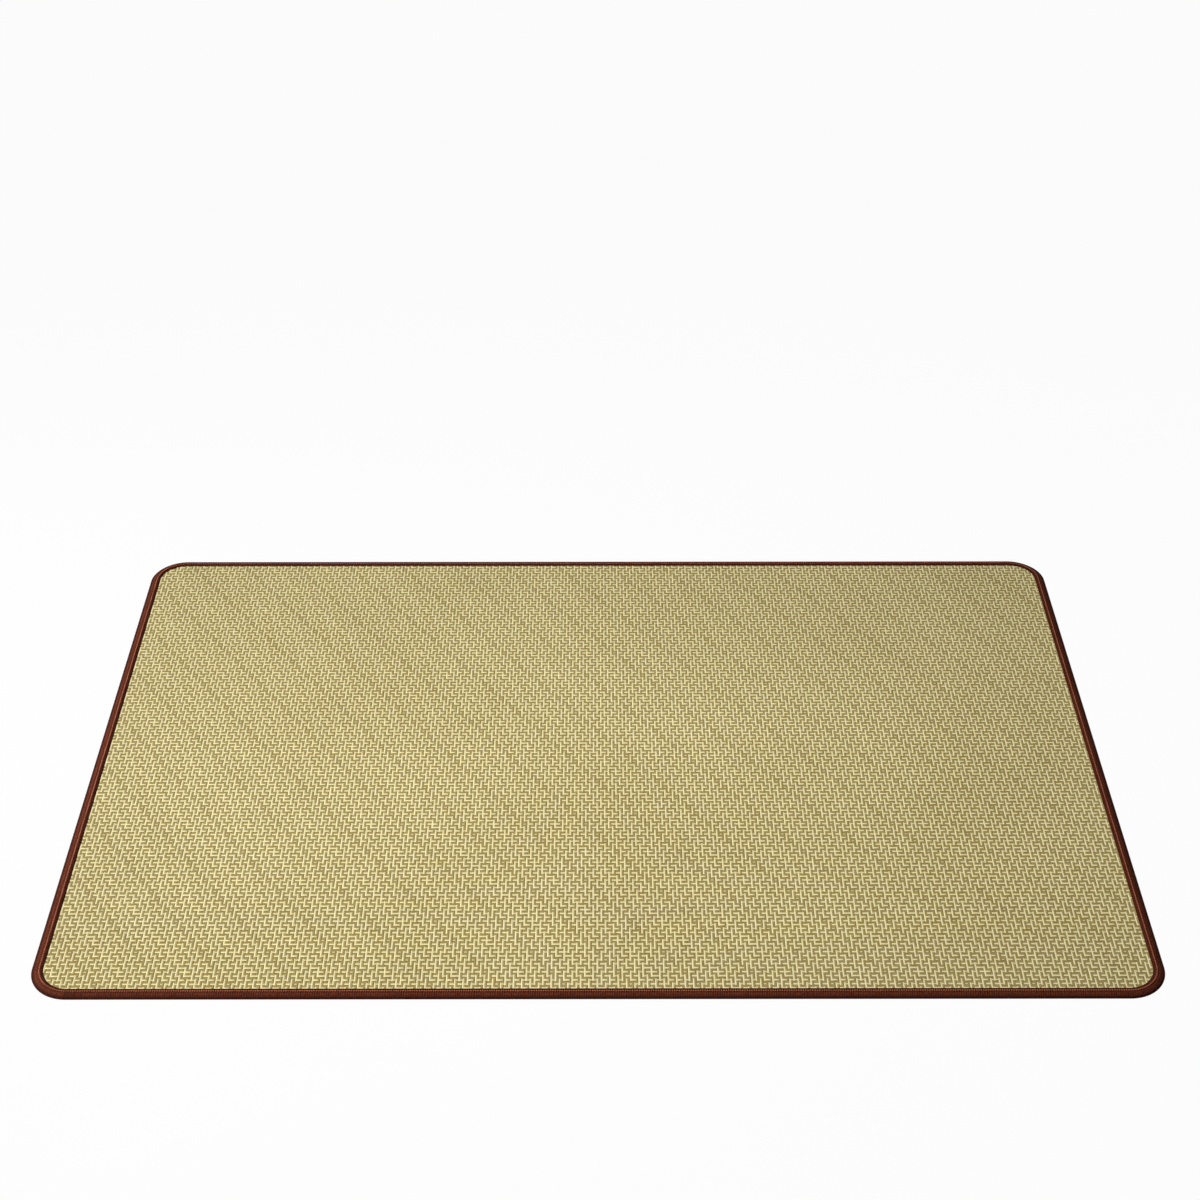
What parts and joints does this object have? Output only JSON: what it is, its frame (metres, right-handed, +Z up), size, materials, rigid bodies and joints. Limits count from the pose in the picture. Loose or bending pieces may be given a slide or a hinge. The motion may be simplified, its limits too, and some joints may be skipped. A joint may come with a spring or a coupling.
{
  "type": "tatami mat",
  "caption": "Rectangular flat-woven mat with rounded corners and a folded cloth tape sewn round its whole edge, for lying on a floor.",
  "frame": {"origin": "on the floor, below the middle of the mat", "axes": "+X along the mat's length, +Y along its width, +Z up from the floor"},
  "size_m": [1.8, 1.2, 0.007],
  "materials": {
    "straw_weave": "matte",
    "brown_tape": "matte"
  },
  "bodies": {
    "root": {"woven_panel": "straw_weave", "edge_binding": "brown_tape"}
  },
  "joints": []
}
